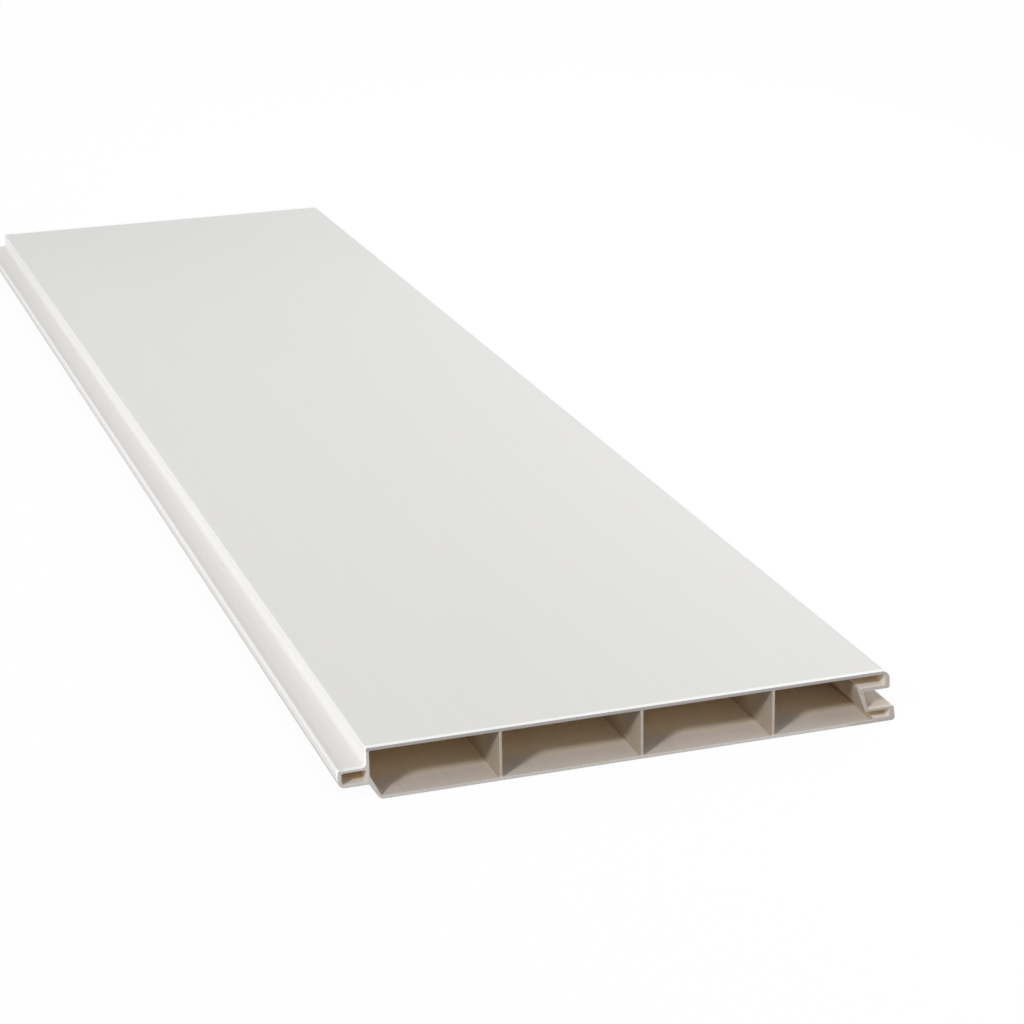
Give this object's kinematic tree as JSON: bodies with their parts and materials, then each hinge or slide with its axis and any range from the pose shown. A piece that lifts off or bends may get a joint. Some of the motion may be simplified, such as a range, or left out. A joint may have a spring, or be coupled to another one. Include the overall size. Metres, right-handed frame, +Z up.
{
  "type": "vinyl fence board",
  "caption": "Hollow extruded tongue-and-groove fence board in white vinyl, with inner webs, a hollow tongue on one edge and a groove between two lips on the other.",
  "frame": {"origin": "centre of the board's box, on the surface it lies on, with its bottom face at Z 0", "axes": "+X across the board from the tongue to the groove, +Y along the length, +Z up through the thickness out of the top face"},
  "size_m": [0.2338, 0.9144, 0.0222],
  "materials": {
    "vinyl": "satin"
  },
  "bodies": {
    "root": {"fence_board": "vinyl"}
  },
  "joints": []
}
